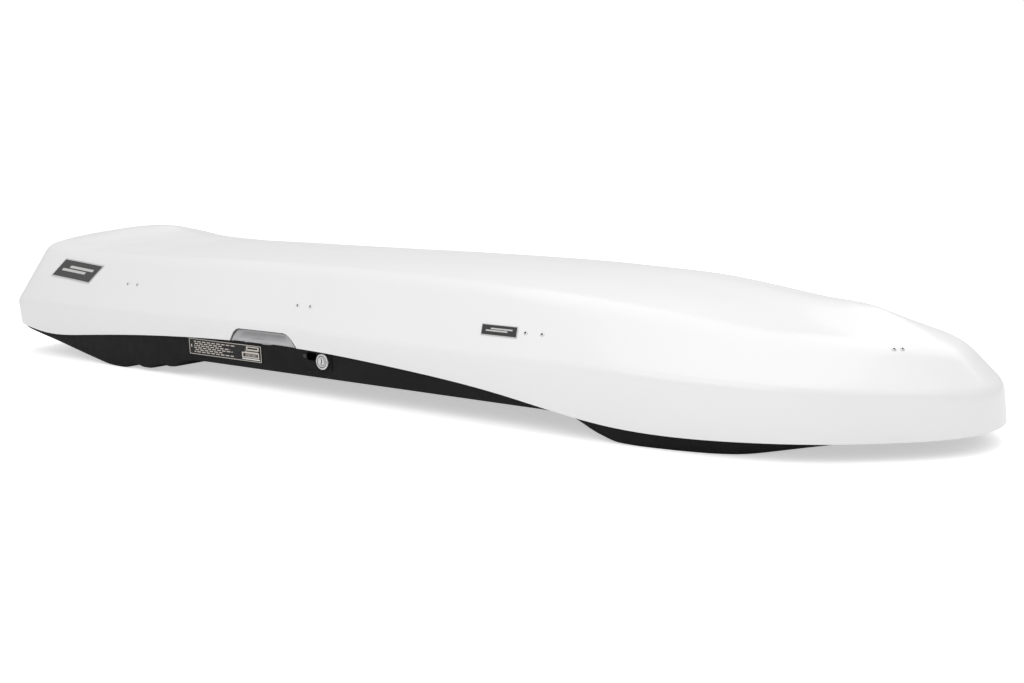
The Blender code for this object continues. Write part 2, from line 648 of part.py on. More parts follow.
def hinge_arm(name, x, skin):
    """A gooseneck from the pin's eye, inboard and up, to the inside of the lid's flank."""
    def lid_y(up):
        return min(skin.flank_inside(x + dx, HINGE_Z + up, 1) for dx in (-ARM_HALF, 0, ARM_HALF)) - 2 * GAP
    half = 0.003
    neck = HINGE_Y - 0.040
    eye = []
    for k in range(9):
        a = math.radians(-156 + 312 * k / 8)
        eye.append((HINGE_Y + EYE_R * math.cos(a), HINGE_Z + EYE_R * math.sin(a)))
    low, high = 0.098, 0.126
    outline = eye + [(neck + half, HINGE_Z + half), (neck + half, HINGE_Z + 0.072),
                     (lid_y(low), HINGE_Z + low - 0.001), (lid_y(high), HINGE_Z + high),
                     (lid_y(high) - 0.004, HINGE_Z + high), (lid_y(low) - 0.007, HINGE_Z + low + 0.003),
                     (neck - half, HINGE_Z + 0.076), (neck - half, HINGE_Z - half)]
    arm = prism(name, outline, "X", x - ARM_HALF, x + ARM_HALF, steel())
    boolean(arm, rod("hole", (x, HINGE_Y, HINGE_Z), (1, 0, 0), PIN_R + 0.0004, -0.04, 0.04, steel(), 12))
    return arm


def make_struts(skin):
    foot = Vector((0, *STRUT_FOOT))
    head = Vector((0, *STRUT_HEAD))
    along = (head - foot).normalized()
    length = (head - foot).length
    for name, station in STRUT_STATIONS.items():
        x = at(station)
        lower = Vector((x, *STRUT_FOOT))
        floor_z = FLOOR + TRAY_WALL + max(keel_height(station - 0.02), keel_height(station + 0.02)) + 0.0012
        clevis(f"strut_foot_{name}", x, STRUT_FOOT[0], floor_z, STRUT_FOOT[1], 0.0060, 0.008, steel())
        rod(f"strut_pin_{name}", lower, (1, 0, 0), PIN_R, -0.0115, 0.0115, steel())
        tube = turned(f"strut_tube_{name}", [(0, 0.020), (0.0095, 0.023), (0.0095, 0.172), (0.0056, 0.172),
                                             (0.0056, 0.075), (0, 0.075)], lower, along, black_nylon(), 14)
        eye = rod("eye", lower, (1, 0, 0), 0.0085, -0.0050, 0.0050, steel(), 14)
        boolean(tube, eye, "UNION")
        neck = rod("neck", lower, along, 0.0042, 0.004, 0.026, steel(), 10)
        boolean(tube, neck, "UNION")
        boolean(tube, rod("hole", lower, (1, 0, 0), PIN_R + 0.0004, -0.04, 0.04, steel(), 12))
        piston = turned(f"strut_rod_{name}", [(0, 0.085), (0.0050, 0.085), (0.0050, length - 0.004),
                                              (0, length - 0.004)], lower, along, silver(), 12)
        ball = rod("ball", lower + along * length, (1, 0, 0), 0.0070, -0.0040, 0.0040, steel(), 12)
        boolean(piston, ball, "UNION")
        swing = empty(f"strut_{name}_axis", lower)
        put_on(swing, tube)
        slide = empty(f"strut_{name}_slide", lower)
        put_on(swing, slide)
        put_on(slide, piston)
        strut_fork(f"strut_fork_{name}", x, skin)


def strut_fork(name, x, skin):
    """Two cheeks under the lid that the rod's ball runs between; the open pivot."""
    y, z = STRUT_HEAD
    roof = skin.roof_clearance(x, y, 0.020, 0.016) - 2 * GAP
    low = z - 0.012
    a, b = 0.0060, 0.0085
    outline = [(x - b, low), (x - a, low), (x - a, z + 0.026), (x + a, z + 0.026), (x + a, low), (x + b, low),
               (x + b, roof - 0.003), (x + 0.020, roof - 0.003), (x + 0.020, roof), (x - 0.020, roof),
               (x - 0.020, roof - 0.003), (x - b, roof - 0.003)]
    return prism(name, outline, "Y", y - 0.016, y + 0.016, steel())


# ---------------------------------------------------------------- stiffening and labels
def make_floor_rails():
    low = FLOOR + TRAY_WALL + GAP
    for name, side in (("left", 1), ("right", -1)):
        y = side * 0.13
        outline = [(y - 0.020, low), (y - 0.010, low), (y - 0.008, low + 0.010), (y + 0.008, low + 0.010),
                   (y + 0.010, low), (y + 0.020, low), (y + 0.020, low + 0.002), (y + 0.0115, low + 0.002),
                   (y + 0.0095, low + 0.012), (y - 0.0095, low + 0.012), (y - 0.0115, low + 0.002),
                   (y - 0.020, low + 0.002)]
        prism(f"floor_rail_{name}", outline, "X", at(0.68), at(1.60), steel())


def make_lid_bows(skin):
    """Two hat-section bows across the inside of the lid's roof."""
    for name, station in (("rear", 0.72), ("front", 1.25)):
        x = at(station)
        half = 0.016
        over = []
        for k in range(9):
            y = -0.24 + 0.48 * k / 8
            over.append((y, min(skin.roof_inside(x + dx, y) for dx in (-half, 0, half)) - 4 * GAP))
        under = [(y, z - 0.006) for y, z in reversed(over)]
        prism(f"lid_bow_{name}", over + under, "X", x - half, x + half, white_abs())


def make_labels():
    low, high = FLOOR + 0.0145, FLOOR + 0.0525
    outline = [(-0.3561, low), (-0.3575, high), (-0.3583, high), (-0.3569, low)]
    prism("info_label", outline, "X", at(0.640), at(0.876), printed_foil())
    flank_badge("tail_badge", (0.168, 0.178), 0.165, 0.044, 0.026, -0.012)
    flank_badge("flank_badge", (1.475, 0.1303), 0.078, 0.0185, -0.006, -0.001)


def flank_badge(name, middle, length, height, slant, rise):
    """A thin plaque: the part of a film over the lid inside a leaning outline.

    slant is how far the top edge leads the bottom one, and rise how far the front end
    stands above the rear one.
    """
    film = surface_object(name, lid_rings(), printed_foil(), 0.0010, lift=0.0006, side=1)
    x, z = at(middle[0]), FLOOR + middle[1]
    outline = [(x + length * u + slant * v, z + height * v + rise * u)
               for u, v in ((-.5, -.5), (.5, -.5), (.5, .5), (-.5, .5))]
    boolean(film, prism("outline", outline, "Y", -0.40, -0.10, steel()), "INTERSECT")


def cut_floor_slots(tray):
    length, width = SLOT_SIZE
    for station in SLOT_STATIONS:
        for side in (-1, 1):
            for end in (-1, 1):
                x = at(station) + end * SLOT_OFFSET
                y = side * SLOT_Y
                outline = round_outline((x - length / 2, y - width / 2), (x + length / 2, y + width / 2),
                                        width / 2 - 0.0001, 3)
                boolean(tray, prism("slot", outline, "Z", FLOOR - 0.01, FLOOR + 0.01, steel()))


def shade(obj):
    obj.data.shade_smooth()
    obj.data.set_sharp_from_angle(angle=math.radians(35))


def main():
    clear_scene()
    lid = make_lid()
    bpy.context.view_layer.update()
    skin = LidSkin(lid)
    tray = make_tray()
    cut_floor_slots(tray)
    make_lock(tray)
    make_latch_bar()
    make_latch_guides()
    make_strikers(lid, skin)
    axle = make_hinges(lid, skin)
    make_struts(skin)
    make_floor_rails()
    make_lid_bows(skin)
    make_labels()
    make_grip(lid)
    put_on(axle, *[obj for obj in bpy.data.objects if obj.name.startswith(LID_PIECES)])
    for obj in bpy.data.objects:
        if obj.type == "MESH":
            shade(obj)


main()
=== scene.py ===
"""Looks of the roof cargo box: fine shells, fittings, labels and materials.

Object frame: +X towards the nose, -Y the opening side, +Z up, metres.  The closed box
stands on the floor with its bellies at z = 0.
"""
import math

import bmesh
import bpy
import numpy as np
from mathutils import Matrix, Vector
from mathutils.bvhtree import BVHTree


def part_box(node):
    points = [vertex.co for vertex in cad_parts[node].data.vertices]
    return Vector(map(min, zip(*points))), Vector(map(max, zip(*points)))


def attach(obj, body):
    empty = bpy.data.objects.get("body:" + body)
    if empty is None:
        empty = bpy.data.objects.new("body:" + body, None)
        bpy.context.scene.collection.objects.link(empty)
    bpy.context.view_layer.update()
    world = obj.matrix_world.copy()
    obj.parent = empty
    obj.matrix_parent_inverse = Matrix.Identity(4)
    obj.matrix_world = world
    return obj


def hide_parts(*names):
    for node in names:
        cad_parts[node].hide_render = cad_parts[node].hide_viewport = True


# ---------------------------------------------------------------- driving dimensions
HALF_WIDTH = 0.370
TAIL_DATUM = -1.0945
FLOOR = 0.042
LID_WALL = 0.004
TRAY_WALL = 0.0035
TRAY_LAP = 0.008

LOCK_STATION = 1.0585
LOCK_Z = FLOOR + 0.037
LOCK_FACE_R = 0.0165
WALL_FACE = 0.3576
PLATE = 0.0008

SLOT_STATIONS = (0.78, 1.45)
SLOT_Y = 0.20
SLOT_OFFSET = 0.055
SLOT_SIZE = (0.090, 0.009)

# Half of the lid's control net: rim, crease, shoulder, deck edge and spine at each
# station, as (distance forward, inset from the widest side line, height in mm).
STATIONS = [
    ((-.085, .370, 50), (-.083, .370, 98), (-.026, .370, 268), (.055, .370, 283), (.140, .370, 282)),
    ((-.082, .250, 49), (-.080, .250, 98), (-.024, .262, 264), (.060, .290, 278), (.145, .370, 282)),
    ((-.074, .140, 46), (-.072, .138, 97), (-.020, .175, 256), (.075, .235, 267), (.155, .370, 281)),
    ((-.058, .055, 42), (-.058, .050, 97), (-.012, .112, 246), (.100, .195, 255), (.175, .370, 277)),
    ((-.030, .016, 36), (-.030, .010, 97), (.006, .090, 240), (.135, .188, 248), (.205, .370, 272)),
    ((.010, .007, 31), (.010, .001, 97), (.055, .088, 234), (.190, .186, 243), (.255, .370, 266)),
    ((.090, .006, 21), (.090, .000, 96), (.120, .088, 227), (.250, .184, 240), (.310, .370, 261)),
    ((.240, .006, 26), (.240, .000, 95), (.250, .088, 222), (.350, .182, 237), (.390, .370, 254)),
    ((.450, .006, 43), (.450, .000, 96), (.450, .088, 221), (.490, .182, 236), (.510, .370, 252)),
    ((.700, .006, 56), (.700, .000, 97), (.700, .090, 223), (.710, .185, 234), (.720, .370, 248)),
    ((1.000, .006, 58), (1.000, .000, 94), (1.000, .090, 220), (1.000, .188, 232), (1.000, .370, 245)),
    ((1.250, .006, 44), (1.250, .000, 88), (1.250, .090, 213), (1.250, .190, 229), (1.250, .370, 242)),
    ((1.500, .006, 19), (1.500, .000, 87), (1.500, .090, 200), (1.500, .192, 221), (1.490, .370, 238)),
    ((1.700, .009, -10), (1.700, .003, 86), (1.690, .100, 182), (1.680, .196, 207), (1.650, .370, 235)),
    ((1.830, .018, -15), (1.830, .012, 83), (1.800, .115, 165), (1.790, .205, 194), (1.740, .370, 231)),
    ((1.950, .040, -12), (1.950, .034, 80), (1.905, .138, 152), (1.885, .218, 176), (1.830, .370, 221)),
    ((2.050, .083, -10), (2.050, .077, 75), (2.005, .172, 142), (1.970, .235, 161), (1.900, .370, 211)),
    ((2.116, .132, -10), (2.116, .126, 72), (2.067, .205, 136), (2.026, .255, 154), (1.950, .370, 204)),
    ((2.192, .199, -9), (2.190, .194, 67), (2.136, .246, 130), (2.088, .285, 151), (1.985, .370, 201)),
    ((2.253, .283, -7), (2.248, .281, 61), (2.188, .303, 125), (2.124, .325, 148), (2.005, .370, 198)),
    ((2.274, .370, -4), (2.266, .370, 58), (2.203, .370, 122), (2.137, .370, 147), (2.012, .370, 197)),
]
HINGE_SIDE_RIM = (50, 49, 47, 46, 45, 45, 45, 45, 45, 45, 45, 45, 45, 45, 38, 15, -4, -8, -8, -6, -4)
TRAY_INSET = (.0065,) * 13 + (.007, .008, .010, .011, .011, .011, .011, .011)
WALL_FOOT = ((.0085, 5),) * 13 + ((.010, 6), (.012, 10), (.020, 18), (.030, 27), (.035, 27),
                                   (.040, 27), (.040, 29), (.040, 31))
FLOOR_EDGE = ((-.050, .370), (-.047, .260), (-.040, .150), (-.026, .080), (-.005, .045), (.030, .030),
              (.100, .024), (.245, .020), (.450, .018), (.700, .018), (1.000, .018), (1.250, .018),
              (1.500, .018), (1.700, .022), (1.822, .035), (1.920, .068), (1.962, .130), (1.982, .185),
              (1.992, .245), (1.998, .305), (2.000, .370))
KEEL = ((-.09, 34), (-.02, 26), (.10, 3), (.23, -22), (.33, -40), (.36, -42), (.40, -42), (.43, -30),
        (.445, -30), (.465, -35), (.500, -34), (.525, -20), (.540, -20), (.555, -24), (.585, -22),
        (.615, -4), (.66, 0), (1.62, 0), (1.64, -5), (1.68, -26), (1.72, -40), (1.76, -42), (2.10, -42))
ROUNDING = (.012, .026, .040)

LID_FINE = (6,) * 20
TRAY_FINE = (4, 4, 4, 4, 4, 4, 10, 26, 40, 6, 6, 6, 14, 12, 8, 6, 5, 4, 4, 4)
ARC_STEPS = 7
RUN_STEPS = 5


def at(station):
    return TAIL_DATUM + station


# ---------------------------------------------------------------- materials
class Paint:
    """A small builder for procedural materials in object coordinates (metres)."""

    def __init__(self, name, colour, roughness, metallic=0.0):
        self.mat = bpy.data.materials.new(name)
        self.mat.use_nodes = True
        self.tree = self.mat.node_tree
        self.shader = self.tree.nodes["Principled BSDF"]
        self.colour = colour
        self.shader.inputs["Base Color"].default_value = (*colour, 1)
        self.shader.inputs["Roughness"].default_value = roughness
        self.shader.inputs["Metallic"].default_value = metallic
        self.coords = self.tree.nodes.new("ShaderNodeTexCoord").outputs["Object"]

    def link(self, source, target):
        self.tree.links.new(source, target)

    def scaled(self, scale):
        mapping = self.tree.nodes.new("ShaderNodeMapping")
        mapping.inputs["Scale"].default_value = scale
        self.link(self.coords, mapping.inputs["Vector"])
        return mapping.outputs["Vector"]

    def noise(self, scale, detail=3.0, stretch=(1, 1, 1)):
        node = self.tree.nodes.new("ShaderNodeTexNoise")
        node.inputs["Scale"].default_value = scale
        node.inputs["Detail"].default_value = detail
        self.link(self.scaled(stretch), node.inputs["Vector"])
        return node.outputs["Fac"]

    def span(self, value, low, high, out_low, out_high):
        node = self.tree.nodes.new("ShaderNodeMapRange")
        node.inputs["From Min"].default_value = low
        node.inputs["From Max"].default_value = high
        node.inputs["To Min"].default_value = out_low
        node.inputs["To Max"].default_value = out_high
        self.link(value, node.inputs["Value"])
        return node.outputs["Result"]

    def mix(self, factor, first, second):
        node = self.tree.nodes.new("ShaderNodeMix")
        node.data_type = "RGBA"
        self.link(factor, node.inputs["Factor"])
        for socket, value in ((node.inputs["A"], first), (node.inputs["B"], second)):
            if isinstance(value, tuple):
                socket.default_value = (*value, 1)
            else:
                self.link(value, socket)
        return node.outputs["Result"]

    def tint(self, factor, first, second):
        self.link(self.mix(factor, first, second), self.shader.inputs["Base Color"])
        return self

    def rough(self, value):
        self.link(value, self.shader.inputs["Roughness"])
        return self

    def bump(self, height, strength, distance):
        node = self.tree.nodes.new("ShaderNodeBump")
        node.inputs["Strength"].default_value = strength
        node.inputs["Distance"].default_value = distance
        self.link(height, node.inputs["Height"])
        self.link(node.outputs["Normal"], self.shader.inputs["Normal"])
        return self

    def coat(self, weight, roughness):
        self.shader.inputs["Coat Weight"].default_value = weight
        self.shader.inputs["Coat Roughness"].default_value = roughness
        return self

    def math(self, operation, first, second=None):
        node = self.tree.nodes.new("ShaderNodeMath")
        node.operation = operation
        for socket, value in zip(node.inputs, (first, second)):
            if value is None:
                continue
            if isinstance(value, (int, float)):
                socket.default_value = value
            else:
                self.link(value, socket)
        return node.outputs[0]

    def axes(self):
        node = self.tree.nodes.new("ShaderNodeSeparateXYZ")
        self.link(self.coords, node.inputs[0])
        return node.outputs


def gloss_white():
    paint = Paint("gloss_white", (0.825, 0.822, 0.825), 0.36)
    paint.tint(paint.span(paint.noise(3.0, 2.0), 0.3, 0.7, 0, 1), (0.818, 0.815, 0.818), (0.832, 0.829, 0.832))
    paint.bump(paint.noise(170.0, 2.0), 0.05, 0.0004)
    return paint.coat(0.35, 0.12).mat


def inner_white():
    paint = Paint("inner_white", (0.73, 0.73, 0.735), 0.5)
    paint.tint(paint.span(paint.noise(6.0), 0.3, 0.7, 0, 1), (0.71, 0.71, 0.715), (0.76, 0.76, 0.765))
    return paint.bump(paint.noise(600.0, 2.0), 0.12, 0.0004).mat


def grained_black():
    paint = Paint("grained_black", (0.010, 0.010, 0.011), 0.6)
    paint.tint(paint.span(paint.noise(9.0), 0.3, 0.7, 0, 1), (0.009, 0.009, 0.010), (0.012, 0.012, 0.013))
    paint.shader.inputs["Specular IOR Level"].default_value = 0.12
    paint.rough(paint.span(paint.noise(60.0), 0.3, 0.7, 0.56, 0.66))
    return paint.bump(paint.noise(1300.0, 2.0), 0.25, 0.0004).mat


def nylon():
    paint = Paint("moulded_nylon", (0.028, 0.028, 0.030), 0.45)
    paint.tint(paint.span(paint.noise(70.0), 0.3, 0.7, 0, 1), (0.024, 0.024, 0.026), (0.036, 0.036, 0.038))
    return paint.bump(paint.noise(1700.0, 2.0), 0.18, 0.0003).mat


# Grey of the grip insert, partly its own grey and partly painted shade: kept dark to stand in for the shadow in the
# recess.
def satin_grey_and_painted_shade():
    paint = Paint("satin_grey_and_painted_shade", (0.43, 0.43, 0.44), 0.38)
    paint.tint(paint.span(paint.noise(40.0), 0.3, 0.7, 0, 1), (0.41, 0.41, 0.42), (0.45, 0.45, 0.46))
    return paint.bump(paint.noise(900.0, 2.0), 0.10, 0.0003).coat(0.25, 0.2).mat


def zinc():
    paint = Paint("zinc_plate", (0.60, 0.60, 0.58), 0.34, 1.0)
    paint.tint(paint.span(paint.noise(35.0, 4.0), 0.35, 0.65, 0, 1), (0.55, 0.55, 0.52), (0.68, 0.68, 0.66))
    paint.rough(paint.span(paint.noise(160.0, 3.0), 0.3, 0.7, 0.26, 0.42))
    return paint.bump(paint.noise(500.0, 2.0, (0.1, 1, 1)), 0.12, 0.0003).mat


def bright():
    paint = Paint("bright_plate", (0.80, 0.80, 0.81), 0.18, 1.0)
    paint.rough(paint.span(paint.noise(400.0, 2.0), 0.3, 0.7, 0.13, 0.24))
    return paint.bump(paint.noise(900.0, 1.0), 0.05, 0.0002).mat


def rivet_metal():
    paint = Paint("rivet_metal", (0.70, 0.70, 0.71), 0.30, 1.0)
    paint.tint(paint.noise(500.0), (0.66, 0.66, 0.67), (0.74, 0.74, 0.75))
    return paint.mat


def lock_silver():
    paint = Paint("lock_silver", (0.66, 0.66, 0.67), 0.28, 1.0)
    paint.tint(paint.span(paint.noise(300.0), 0.3, 0.7, 0, 1), (0.60, 0.60, 0.61), (0.72, 0.72, 0.73))
    return paint.bump(paint.noise(1500.0, 2.0), 0.08, 0.0002).mat


# Near-black without specular: painted shadow for holes and recesses (keyway, lock pocket, rivet centres).
def painted_hole_shadow():
    paint = Paint("painted_shadow_black", (0.004, 0.004, 0.004), 0.8)
    paint.tint(paint.noise(200.0), (0.001, 0.001, 0.001), (0.002, 0.002, 0.002))
    paint.shader.inputs["Specular IOR Level"].default_value = 0.0
    return paint.mat


# Dark grey: painted shade for the lock face's groove ring and the gap round the grip.
def painted_groove_shade():
    paint = Paint("painted_groove_shade", (0.12, 0.12, 0.12), 0.4, 0.8)
    paint.tint(paint.noise(300.0), (0.09, 0.09, 0.09), (0.15, 0.15, 0.15))
    return paint.mat


def badge_black():
    paint = Paint("badge_black", (0.015, 0.015, 0.016), 0.30)
    paint.tint(paint.noise(50.0), (0.012, 0.012, 0.013), (0.022, 0.022, 0.023))
    return paint.coat(0.4, 0.1).mat


def badge_light():
    paint = Paint("badge_light", (0.55, 0.55, 0.54), 0.35)
    paint.tint(paint.noise(90.0), (0.50, 0.50, 0.49), (0.60, 0.60, 0.59))
    return paint.mat


def label_print(x0, x1, z0, z1):
    """Black foil with a border, rows of neutral dashes and framed blocks."""
    paint = Paint("label_print", (0.012, 0.012, 0.012), 0.4)
    paint.shader.inputs["Specular IOR Level"].default_value = 0.25
    x, _, z = paint.axes()
    u = paint.span(x, x0, x1, 0, 1)
    v = paint.span(z, z0, z1, 0, 1)

    def inside(value, low, high):
        return paint.math("MULTIPLY", paint.math("GREATER_THAN", value, low), paint.math("LESS_THAN", value, high))

    def window(u0, u1, v0, v1):
        return paint.math("MULTIPLY", inside(u, u0, u1), inside(v, v0, v1))

    def either(*masks):
        total = masks[0]
        for mask in masks[1:]:
            total = paint.math("MAXIMUM", total, mask)
        return total

    def without(mask, hole):
        return paint.math("MULTIPLY", mask, paint.math("SUBTRACT", 1.0, hole))

    border = without(window(.005, .995, .02, .98), window(.012, .988, .055, .945))
    rows = inside(paint.math("FRACT", paint.math("MULTIPLY", v, 8.0)), .26, .72)
    row = paint.math("FLOOR", paint.math("MULTIPLY", v, 8.0))
    shifted = paint.math("ADD", paint.math("MULTIPLY", u, 15.0), paint.math("MULTIPLY", row, 0.37))
    dashes = inside(paint.math("FRACT", shifted), .10, .84)
    ragged = paint.math("LESS_THAN", u, paint.math("ADD", .56, paint.math("MULTIPLY", paint.math(
        "SINE", paint.math("MULTIPLY", row, 2.3)), .09)))
    lines = paint.math("MULTIPLY", paint.math("MULTIPLY", rows, dashes), paint.math(
        "MULTIPLY", ragged, window(.075, .70, .10, .90)))
    block_a = without(window(.80, .965, .68, .90), window(.815, .95, .74, .84))
    block_b = without(window(.74, .965, .22, .55), window(.755, .95, .29, .48))
    ticks = paint.math("MULTIPLY", inside(paint.math("FRACT", paint.math("MULTIPLY", u, 60.0)), .3, .7),
                       window(.78, .93, .31, .46))
    fine = paint.math("MULTIPLY", rows, window(.78, .96, .55, .68))
    strip = window(.74, .975, .115, .185)
    mark = window(.03, .045, .45, .62)
    pale = either(block_a, block_b, ticks, fine, lines, mark, border)
    base = paint.mix(pale, (0.008, 0.008, 0.009), (0.58, 0.54, 0.49))
    paint.tint(strip, base, (0.75, 0.75, 0.74))
    return paint.mat


# ---------------------------------------------------------------- mesh helpers
def add_object(name, mesh, *mats):
    obj = bpy.data.objects.new(name, mesh)
    bpy.context.scene.collection.objects.link(obj)
    for mat in mats:
        mesh.materials.append(mat)
    return obj


def from_faces(name, verts, faces, *mats):
    """Mesh object with merged points and its normals facing outwards."""
    mesh = bpy.data.meshes.new(name)
    mesh.from_pydata([tuple(v) for v in verts], [], faces)
    mesh.validate()
    bm = bmesh.new()
    bm.from_mesh(mesh)
    bmesh.ops.remove_doubles(bm, verts=bm.verts, dist=1e-7)
    bmesh.ops.recalc_face_normals(bm, faces=bm.faces)
    bm.to_mesh(mesh)
    bm.free()
    return add_object(name, mesh, *mats)


def applied(obj):
    """Turn the object's modifiers into its mesh."""
    bpy.context.view_layer.update()
    result = bpy.data.meshes.new_from_object(obj.evaluated_get(bpy.context.evaluated_depsgraph_get()))
    obj.modifiers.clear()
    obj.data = result
    return obj


def smooth(obj, angle=32):
    obj.data.shade_smooth()
    obj.data.set_sharp_from_angle(angle=math.radians(angle))
    return obj


def bevel(obj, width, segments=2, angle=35):
    mod = obj.modifiers.new("edge", "BEVEL")
    mod.width = width
    mod.segments = segments
    mod.limit_method = "ANGLE"
    mod.angle_limit = math.radians(angle)
    mod.harden_normals = False
    return obj


def prism(name, outline, axis, low, high, *mats):
    """Straight solid of an outline, from low to high along the axis."""
    def place(point, depth):
        a, b = point
        return {"X": (depth, a, b), "Y": (a, depth, b), "Z": (a, b, depth)}[axis]
    count = len(outline)
    verts = [place(p, low) for p in outline] + [place(p, high) for p in outline]
    faces = [tuple(range(count)), tuple(range(2 * count - 1, count - 1, -1))]
    faces += [(i, (i + 1) % count, (i + 1) % count + count, i + count) for i in range(count)]
    return from_faces(name, verts, faces, *mats)


def turned(name, profile, centre, axis, segments, *mats):
    """Turn a closed (radius, height) profile about an axis; radius 0 points are poles."""
    direction = Vector(axis).normalized()
    turn = Vector((0, 0, 1)).rotation_difference(direction).to_matrix()
    verts = []
    rings = []
    for radius, height in profile:
        ring = []
        for k in range(segments if radius else 1):
            a = 2 * math.pi * k / segments
            ring.append(len(verts))
            spot = Vector((radius * math.cos(a), radius * math.sin(a), height))
            verts.append(Vector(centre) + turn @ spot)
        rings.append(ring)
    faces = []
    pairs = list(zip(rings, rings[1:]))
    if profile[0][0] > 0:
        pairs.append((rings[-1], rings[0]))
    for lower, upper in pairs:
        for k in range(segments):
            n = (k + 1) % segments
            if len(lower) == 1:
                faces.append((lower[0], upper[n], upper[k]))
            elif len(upper) == 1:
                faces.append((lower[k], lower[n], upper[0]))
            else:
                faces.append((lower[k], lower[n], upper[n], upper[k]))
    return from_faces(name, verts, faces, *mats)


def cut(target, tool):
    """Take the tool away from the target, and delete the tool."""
    mod = target.modifiers.new("bool", "BOOLEAN")
    mod.operation = "DIFFERENCE"
    mod.solver = "EXACT"
    mod.object = tool
    applied(target)
    bpy.data.objects.remove(tool, do_unlink=True)


def grid_faces(columns, rows):
    """Faces of a grid of vertices that are listed row by row."""
    stride = columns + 1
    return [(j * stride + i, j * stride + i + 1, (j + 1) * stride + i + 1, (j + 1) * stride + i)
            for j in range(rows) for i in range(columns)]


def thicken_inwards(obj, thickness):
    """Give a sheet on the -Y side a wall that grows away from its outer face."""
    wall = obj.modifiers.new("wall", "SOLIDIFY")
    wall.thickness = thickness
    wall.offset = -1 if obj.data.polygons[0].normal.y < 0 else 1
    return applied(obj)


def round_outline(low, high, radius, steps=6):
    """Corner-rounded rectangle between two opposite corners."""
    (a0, b0), (a1, b1) = low, high
    points = []
    for ca, cb, start in ((a1 - radius, b1 - radius, 0), (a0 + radius, b1 - radius, 90),
                          (a0 + radius, b0 + radius, 180), (a1 - radius, b0 + radius, 270)):
        for k in range(steps + 1):
            angle = math.radians(start + 90 * k / steps)
            points.append((ca + radius * math.cos(angle), cb + radius * math.sin(angle)))
    return points


# ---------------------------------------------------------------- the two shells
def closed_curve(values, steps):
    """Points of a smooth closed curve through the stations, steps[i] per span."""
    count = len(values)
    plan = values[:, 1, :2]
    spans = np.linalg.norm(np.roll(plan, -1, 0) - plan, axis=1)
    matrix = np.zeros((count, count))
    slopes = np.zeros(values.shape)
    for i in range(count):
        before, after = spans[i - 1], spans[i]
        nxt = (i + 1) % count
        matrix[i, i - 1] += before
        matrix[i, i] += 2 * (before + after)
        matrix[i, nxt] += after
        slopes[i] = 6 * ((values[nxt] - values[i]) / after - (values[i] - values[i - 1]) / before)
    curve = np.linalg.solve(matrix, slopes.reshape(count, -1)).reshape(values.shape)
    points = []
    for i in range(count):
        nxt = (i + 1) % count
        for k in range(steps[i]):
            b = k / steps[i]
            a = 1 - b
            bend = ((a ** 3 - a) * curve[i] + (b ** 3 - b) * curve[nxt]) * spans[i] ** 2 / 6
            points.append(a * values[i] + b * values[nxt] + bend)
    return np.array(points)


def mirrored(half):
    other = half[1:-1][::-1].copy()
    other[:, :, 1] = 2 * HALF_WIDTH - other[:, :, 1]
    return np.concatenate([half, other])


def to_world(points):
    world = np.array(points)
    world[..., 0] += TAIL_DATUM
    world[..., 1] -= HALF_WIDTH
    world[..., 2] += FLOOR
    return world


def towards(start, end, distance):
    """A point that far along the line, but never past 0.45 of it."""
    return start + (end - start) * min(0.45, distance / max(np.linalg.norm(end - start), 1e-9))


def arc(entry, corner, leave, steps, stop=1.0):
    """Points of the curve from entry towards leave that the corner pulls on."""
    ts = [stop * k / steps for k in range(steps + 1)]
    return [(1 - t) ** 2 * entry + 2 * t * (1 - t) * corner + t * t * leave for t in ts]


def run(start, end, steps):
    """Points between two ends, ends left out."""
    return [start + (end - start) * k / steps for k in range(1, steps)]


def fine_section(row):
    """Section of the lid at one station, from rim to spine."""
    spine = row[4]
    beyond = 2 * spine - row[3]
    beyond[2] = row[3][2]
    line = list(row) + [beyond]
    section = [line[0]]
    for i in (1, 2, 3):
        entry = towards(line[i], line[i - 1], ROUNDING[i - 1])
        leave = towards(line[i], line[i + 1], ROUNDING[i - 1])
        section += run(section[-1], entry, RUN_STEPS) + arc(entry, line[i], leave, ARC_STEPS)
    entry = spine + (line[3] - spine) * 0.5
    crown = arc(entry, spine, spine + (beyond - spine) * 0.5, ARC_STEPS, 0.5)
    section += run(section[-1], entry, RUN_STEPS) + crown
    section[-1][:2] = spine[:2]
    return section


def skin(name, rings, wall, *mats):
    """Skin closed rings whose last rows meet on the centreline, then thicken inwards."""
    count = len(rings)
    mesh = bpy.data.meshes.new(name)
    bm = bmesh.new()
    grid = [[bm.verts.new(p) for p in ring] for ring in rings]
    for i in range(count):
        nxt = (i + 1) % count
        for j in range(len(rings[0]) - 1):
            bm.faces.new((grid[i][j], grid[nxt][j], grid[nxt][j + 1], grid[i][j + 1]))
    bmesh.ops.remove_doubles(bm, verts=bm.verts, dist=1e-5)
    bmesh.ops.dissolve_degenerate(bm, edges=bm.edges, dist=1e-6)
    bmesh.ops.recalc_face_normals(bm, faces=bm.faces)
    bm.to_mesh(mesh)
    bm.free()
    obj = add_object(name, mesh, *mats)
    shell = obj.modifiers.new("wall", "SOLIDIFY")
    shell.thickness = wall
    shell.offset = -1
    if len(mats) > 1:
        shell.material_offset = 1
    return applied(obj)


def lid_net():
    half = np.array(STATIONS, float)
    half[:, :, 2] *= 0.001
    net = mirrored(half)
    for i, height in enumerate(HINGE_SIDE_RIM[1:-1], start=1):
        net[len(net) - i, 0, 2] = height * 0.001
    return net


def both_sides(steps):
    return tuple(steps) + tuple(reversed(steps))


def keel_height(distance):
    """Height of the underside, with its ribs' edges softened over a few millimetres."""
    knots = np.array(KEEL)
    spread = distance + np.array((-.008, -.004, 0, .004, .008))
    return float(np.mean(np.interp(spread, knots[:, 0], knots[:, 1]))) * 0.001


def inward(plan):
    along = np.roll(plan, -1, 0) - np.roll(plan, 1, 0)
    normal = np.stack([-along[:, 1], along[:, 0]], 1)
    return normal / np.linalg.norm(normal, axis=1)[:, None]


